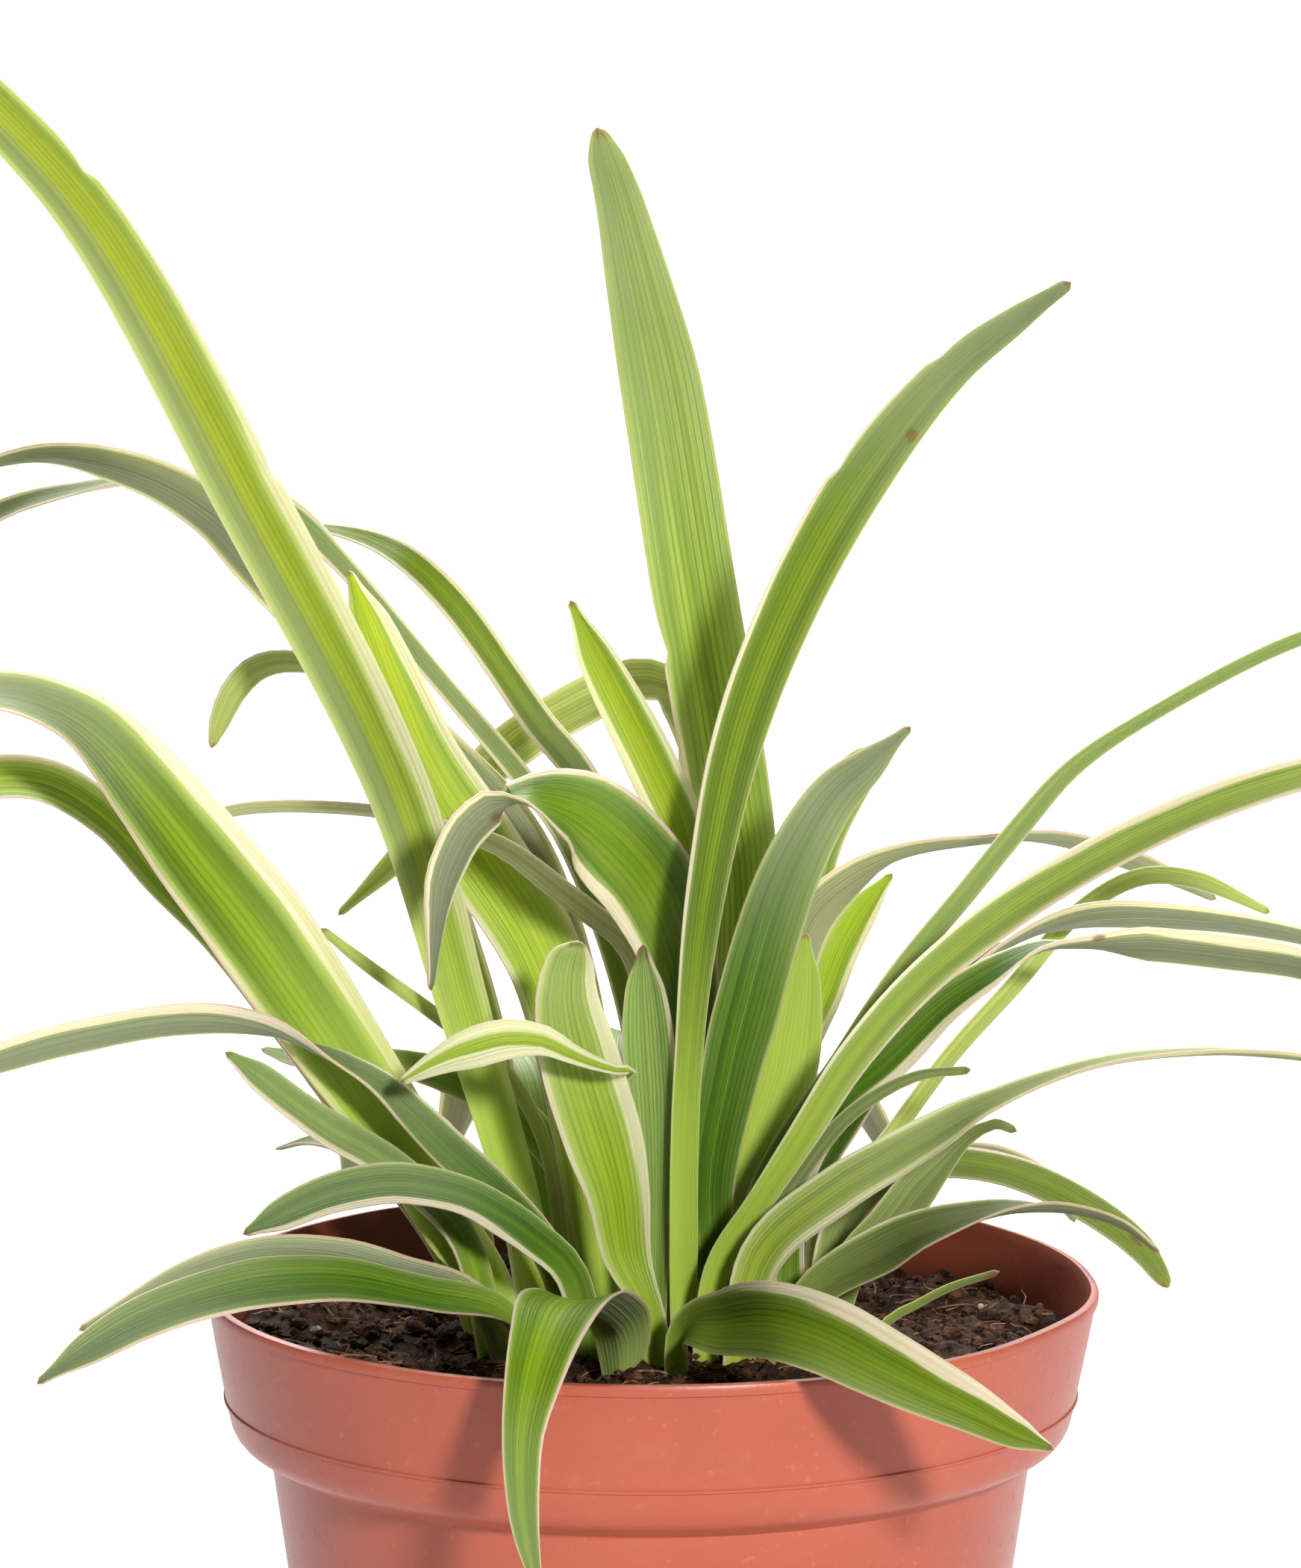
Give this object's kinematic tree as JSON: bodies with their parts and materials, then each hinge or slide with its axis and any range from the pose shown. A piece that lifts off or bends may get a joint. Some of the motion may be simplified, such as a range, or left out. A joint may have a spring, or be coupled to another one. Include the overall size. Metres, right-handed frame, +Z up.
{
  "type": "potted spider plant",
  "caption": "Spider plant with arching cream-edged strap leaves, standing in soil in a thin conical plastic nursery pot.",
  "frame": {"origin": "centre of the pot's foot, on the surface that it stands on", "axes": "+Z up along the pot's axis; the plant's best side, that of the picture, looks to -Y, and +X is to its right"},
  "size_m": [0.2112, 0.1597, 0.2831],
  "materials": {
    "pot": "satin",
    "soil": "matte",
    "leaf": "satin",
    "crown": "matte"
  },
  "bodies": {
    "root": {"pot": "pot", "soil": "soil", "crown_left": "crown", "crown_right": "crown", "crown_back": "crown", "leaf_tall_left": "leaf", "leaf_tall_left_inner": "leaf", "leaf_tall_centre": "leaf", "leaf_tall_right": "leaf", "leaf_centre_pointed": "leaf", "leaf_left_high_arch": "leaf", "leaf_left_thin_arch": "leaf", "leaf_left_inner_arch": "leaf", "leaf_left_broad": "leaf", "leaf_left_dark": "leaf", "leaf_bent_over": "leaf", "leaf_centre_dark": "leaf", "leaf_centre_glossy": "leaf", "leaf_right_grey_arch": "leaf", "leaf_right_thin_long": "leaf", "leaf_right_main": "leaf", "leaf_right_grey": "leaf", "leaf_right_cream": "leaf", "leaf_right_long": "leaf", "leaf_right_droop": "leaf", "leaf_right_low": "leaf", "leaf_front_right": "leaf", "leaf_front_hanging": "leaf", "leaf_front_left": "leaf", "leaf_front_left_grey": "leaf", "leaf_left_over_rim": "leaf", "leaf_left_low_long": "leaf", "leaf_left_low": "leaf", "leaf_curled": "leaf", "leaf_front_upright": "leaf", "leaf_centre_brown_tip": "leaf", "leaf_back_left_dark": "leaf", "leaf_back_arch_long": "leaf", "leaf_back_arch_short": "leaf", "leaf_thin_grey": "leaf", "leaf_thin_left": "leaf", "leaf_bright_behind": "leaf", "leaf_bright_narrow": "leaf", "leaf_thin_curled": "leaf", "leaf_curled_tip": "leaf", "leaf_young": "leaf", "leaf_back_left_low": "leaf", "leaf_back_left": "leaf", "leaf_back_centre": "leaf", "leaf_back_right": "leaf", "leaf_back_right_low": "leaf", "leaf_back_tall": "leaf", "leaf_back_tall_left": "leaf", "leaf_back_tall_right": "leaf", "leaf_back_side_left": "leaf"}
  },
  "joints": []
}
